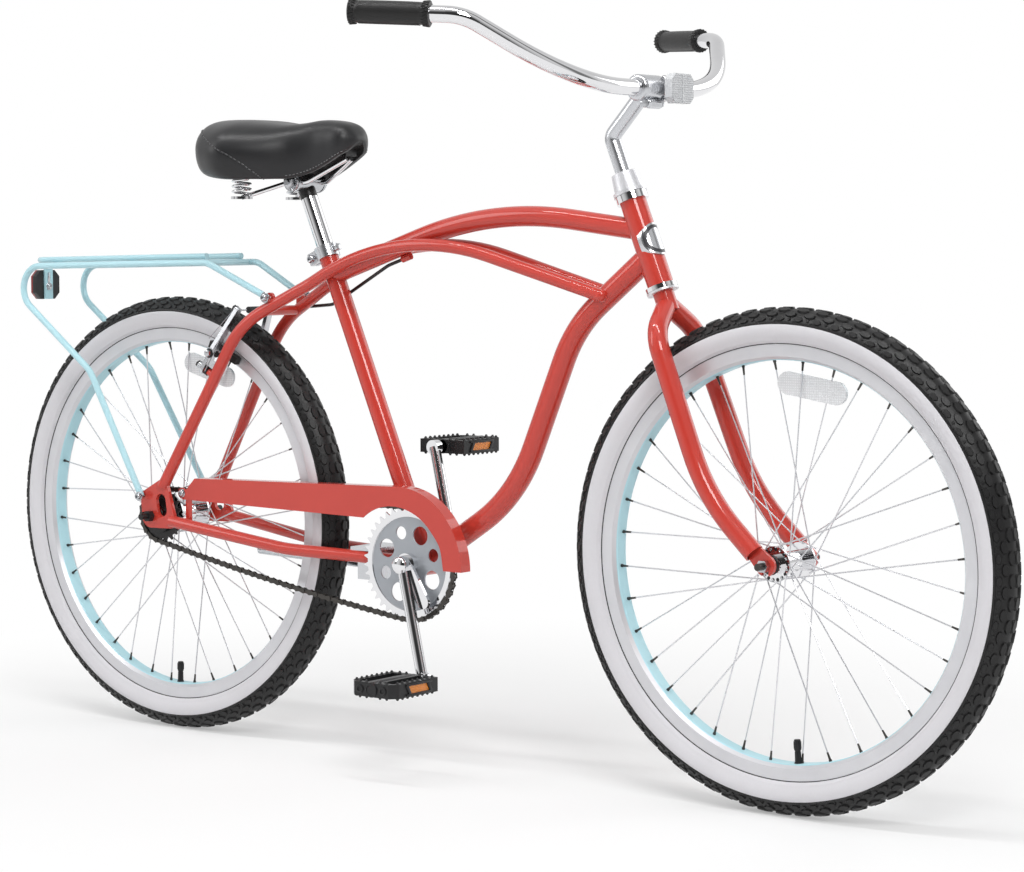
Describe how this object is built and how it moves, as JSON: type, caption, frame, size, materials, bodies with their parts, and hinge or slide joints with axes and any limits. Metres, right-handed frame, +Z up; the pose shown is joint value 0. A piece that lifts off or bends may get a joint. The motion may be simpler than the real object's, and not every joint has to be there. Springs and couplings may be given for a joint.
{
  "type": "beach cruiser bicycle",
  "caption": "Beach cruiser bicycle with a curved cantilever frame, swept-back handlebar, sprung saddle, chainguard, rear rack, kickstand and single-speed chain drive.",
  "frame": {"origin": "on the ground, midway between the two axles", "axes": "+X forward, +Y to the rider's left, +Z up"},
  "size_m": [1.7597, 0.7434, 1.0615],
  "materials": {
    "frame_paint": "gloss coral-red paint",
    "rack_paint": "gloss light-blue paint",
    "chrome": "polished",
    "steel": "bright",
    "dark_steel": "blackened",
    "aluminium": "satin",
    "tyre": "black tread with a pale side wall",
    "black_plastic": "matte black",
    "rubber": "soft black",
    "saddle_cover": "stitched smooth cover",
    "clear_lens": "clear prismatic lens",
    "red_lens": "red prismatic lens",
    "amber_lens": "amber prismatic lens"
  },
  "bodies": {
    "frame": {"head_tube": "frame_paint", "bottom_bracket_shell": "frame_paint", "seat_tube": "frame_paint", "top_tube": "frame_paint", "down_tube": "frame_paint", "twin_tubes": "frame_paint", "chainstays": "frame_paint", "dropouts": "frame_paint", "frame_fittings": "frame_paint", "seat_collar": "chrome", "headset_cups": "chrome", "head_badge": "chrome", "chainguard": "frame_paint", "rack_rails": "rack_paint", "rack_platform": "rack_paint", "rear_reflector_shell": "black_plastic", "rear_reflector_lens": "red_lens", "kickstand_bracket": "aluminium", "rear_axle": "steel", "bottom_bracket_cups": "chrome", "brake_cable": "black_plastic", "chain": "dark_steel"},
    "steering": {"fork": "frame_paint", "headset_cover": "chrome", "stem": "chrome", "handlebar": "chrome", "grips": "rubber", "front_reflector_bracket": "black_plastic", "front_reflector": "clear_lens", "front_axle": "steel"},
    "front_wheel": {"front_tyre": "tyre", "front_rim": "rack_paint", "front_hub": "aluminium", "front_spokes": "steel", "front_wheel_reflector": "clear_lens"},
    "rear_wheel": {"rear_tyre": "tyre", "rear_rim": "rack_paint", "rear_hub": "aluminium", "rear_spokes": "steel", "rear_wheel_reflector": "clear_lens"},
    "freewheel": {"freewheel": "dark_steel"},
    "crank": {"chainring": "chrome", "crank_axles": "chrome", "crank_arms": "chrome"},
    "pedal_right": {"pedal_right": "black_plastic", "pedal_reflectors_right": "amber_lens"},
    "pedal_left": {"pedal_left": "black_plastic", "pedal_reflectors_left": "amber_lens"},
    "brake_right": {"brake_arm_right": "steel", "brake_pad_right": "rubber"},
    "brake_left": {"brake_arm_left": "steel", "brake_pad_left": "rubber"},
    "kickstand": {"kickstand_leg": "aluminium"},
    "seatpost": {"seatpost": "chrome", "saddle_clamp": "chrome", "saddle_rails": "dark_steel", "saddle_springs": "steel"},
    "saddle": {"saddle_pan": "dark_steel", "saddle_cushion": "saddle_cover"}
  },
  "joints": [
    {"name": "steering_turn", "type": "hinge", "parent": "frame", "child": "steering", "pos_m": [0.34666, 0, 0.69059], "axis": [-0.3746, 0, 0.9272], "range_deg": [-75, 75]},
    {"name": "front_wheel_spin", "type": "hinge", "parent": "steering", "child": "front_wheel", "pos_m": [0.547, 0, 0.333], "axis": [0, 1, 0], "continuous": true},
    {"name": "rear_wheel_spin", "type": "hinge", "parent": "frame", "child": "rear_wheel", "pos_m": [-0.547, 0, 0.333], "axis": [0, 1, 0], "continuous": true},
    {"name": "crank_turn", "type": "hinge", "parent": "frame", "child": "crank", "pos_m": [-0.05515, 0, 0.292], "axis": [0, 1, 0], "continuous": true, "deforming": ["chain"]},
    {"name": "freewheel_turn", "type": "hinge", "parent": "frame", "child": "freewheel", "pos_m": [-0.547, 0, 0.333], "axis": [0, 1, 0], "continuous": true, "deforming": ["chain"]},
    {"name": "pedal_right_spin", "type": "hinge", "parent": "crank", "child": "pedal_right", "pos_m": [-0.00553, -0.093, 0.13464], "axis": [0, 1, 0], "continuous": true},
    {"name": "pedal_left_spin", "type": "hinge", "parent": "crank", "child": "pedal_left", "pos_m": [-0.10477, 0.093, 0.44936], "axis": [0, 1, 0], "continuous": true},
    {"name": "brake_right_close", "type": "hinge", "parent": "frame", "child": "brake_right", "pos_m": [-0.44093, -0.05148, 0.55774], "axis": [-0.8616, 0, 0.5075], "range_deg": [0, 3.4], "stiffness_Nm_per_rad": 2, "springref_deg": -11.46, "deforming": ["brake_cable"]},
    {"name": "brake_left_close", "type": "hinge", "parent": "frame", "child": "brake_left", "pos_m": [-0.44093, 0.05148, 0.55774], "axis": [0.8616, 0, -0.5075], "range_deg": [0, 3.4], "stiffness_Nm_per_rad": 2, "springref_deg": -11.46, "deforming": ["brake_cable"]},
    {"name": "kickstand_fold", "type": "hinge", "parent": "frame", "child": "kickstand", "pos_m": [-0.15015, 0.026, 0.27046], "axis": [-0.0662, -0.946, -0.3173], "range_deg": [0, 92]},
    {"name": "seat_height", "type": "slide", "parent": "frame", "child": "seatpost", "axis": [-0.3939, 0, 0.9191], "range_m": [-0.035, 0.05]},
    {"name": "saddle_bounce", "type": "hinge", "parent": "seatpost", "child": "saddle", "pos_m": [-0.20139, 0, 0.87318], "axis": [0, -1, 0], "range_deg": [0, 2.4], "stiffness_Nm_per_rad": 250, "springref_deg": -1.72, "deforming": ["saddle_springs"]}
  ],
  "couplings": [
    {"joint": "freewheel_turn", "follows": "crank_turn", "ratio": 2},
    {"joint": "brake_left_close", "follows": "brake_right_close", "ratio": 1}
  ]
}
